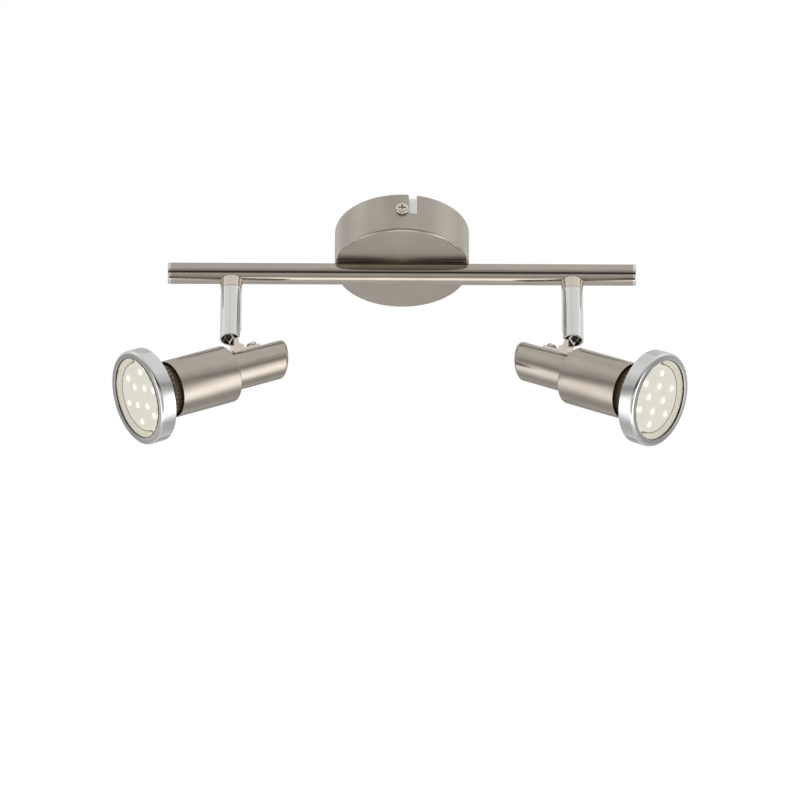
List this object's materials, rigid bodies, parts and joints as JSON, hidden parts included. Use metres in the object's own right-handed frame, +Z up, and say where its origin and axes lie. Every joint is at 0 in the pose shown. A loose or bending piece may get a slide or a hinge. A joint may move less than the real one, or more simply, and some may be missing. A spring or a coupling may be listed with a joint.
{
  "type": "ceiling spot bar",
  "caption": "Ceiling spot bar: round canopy on a bracket, level tube, and swivelling, tilting spot heads with twist-lock reflector lamps in chromed rings.",
  "frame": {"origin": "centre of the canopy on the ceiling plane", "axes": "+Z up into the ceiling, X along the tube, the lamps face -Y"},
  "size_m": [0.3388, 0.0903, 0.1583],
  "materials": {
    "brushed_nickel": "brushed, satin nickel plated",
    "satin_nickel": "satin nickel plated",
    "chrome": "polished chrome plated",
    "screw_nickel": "bright nickel plated",
    "zinc_plated": "zinc plated",
    "brass": "turned",
    "insert_nylon": "moulded black nylon",
    "block_nylon": "moulded nylon",
    "lead_sleeve": "extruded silicone sleeve",
    "earth_sleeve": "extruded, green with a yellow stripe",
    "ceramic": "unglazed steatite",
    "lamp_base_plastic": "moulded",
    "lamp_body_brown": "moulded, gloss",
    "board_white": "coated board",
    "light_chip": "lit, phosphor coated",
    "clear_lens": "clear moulded"
  },
  "bodies": {
    "root": {"canopy": "brushed_nickel", "canopy_screws": "screw_nickel", "ceiling_bracket": "zinc_plated", "terminal_block": "block_nylon", "terminal_clamps": "brass", "terminal_screws": "zinc_plated", "block_screw": "zinc_plated", "earth_screw": "zinc_plated", "earth_lead": "earth_sleeve", "centre_nipple": "brass", "centre_washer": "zinc_plated", "centre_nut": "zinc_plated", "tube_rail": "brushed_nickel", "left_end_cap": "chrome", "right_end_cap": "chrome", "left_arm_collar": "satin_nickel", "right_arm_collar": "satin_nickel", "swivel_nipples": "brass", "swivel_nuts": "zinc_plated", "rail_leads": "lead_sleeve"},
    "left_arm": {"left_swivel_washer": "chrome", "left_arm_tube": "chrome", "left_hinge_insert": "insert_nylon", "left_hinge_pin": "zinc_plated", "left_arm_leads": "lead_sleeve"},
    "left_head": {"left_tilt_bracket": "satin_nickel", "left_bracket_screw": "screw_nickel", "left_rear_housing": "brushed_nickel", "left_front_housing": "brushed_nickel", "left_lamp_holder": "ceramic", "left_holder_screws": "zinc_plated", "left_head_leads": "lead_sleeve"},
    "left_lamp": {"left_lamp_base": "lamp_base_plastic", "left_lamp_pins": "brass", "left_lamp_body": "lamp_body_brown", "left_led_board": "board_white", "left_leds": "light_chip", "left_lamp_lens": "clear_lens", "left_trim_ring": "chrome", "left_ring_clip": "zinc_plated"},
    "right_arm": {"right_swivel_washer": "chrome", "right_arm_tube": "chrome", "right_hinge_insert": "insert_nylon", "right_hinge_pin": "zinc_plated", "right_arm_leads": "lead_sleeve"},
    "right_head": {"right_tilt_bracket": "satin_nickel", "right_bracket_screw": "screw_nickel", "right_rear_housing": "brushed_nickel", "right_front_housing": "brushed_nickel", "right_lamp_holder": "ceramic", "right_holder_screws": "zinc_plated", "right_head_leads": "lead_sleeve"},
    "right_lamp": {"right_lamp_base": "lamp_base_plastic", "right_lamp_pins": "brass", "right_lamp_body": "lamp_body_brown", "right_led_board": "board_white", "right_leds": "light_chip", "right_lamp_lens": "clear_lens", "right_trim_ring": "chrome", "right_ring_clip": "zinc_plated"}
  },
  "joints": [
    {"name": "left_swivel", "type": "hinge", "parent": "root", "child": "left_arm", "pos_m": [-0.1013, 0, -0.0425], "axis": [0, 0, 1], "range_deg": [-165, 165]},
    {"name": "left_tilt", "type": "hinge", "parent": "left_arm", "child": "left_head", "pos_m": [-0.1013, 0, -0.0725], "axis": [0.3305, -0.9438, 0], "range_deg": [-28.6, 61.4]},
    {"name": "left_lamp_twist", "type": "hinge", "parent": "left_head", "child": "left_lamp", "pos_m": [-0.10312, -0.00064, -0.1026], "axis": [-0.8286, -0.2902, -0.4787], "range_deg": [0, 25]},
    {"name": "right_swivel", "type": "hinge", "parent": "root", "child": "right_arm", "pos_m": [0.1013, 0, -0.0425], "axis": [0, 0, 1], "range_deg": [-165, 165]},
    {"name": "right_tilt", "type": "hinge", "parent": "right_arm", "child": "right_head", "pos_m": [0.1013, 0, -0.0725], "axis": [0.3987, 0.9171, 0], "range_deg": [-30.6, 59.4]},
    {"name": "right_lamp_twist", "type": "hinge", "parent": "right_head", "child": "right_lamp", "pos_m": [0.10211, -0.00035, -0.10264], "axis": [0.7894, -0.3432, -0.509], "range_deg": [0, 25]}
  ]
}
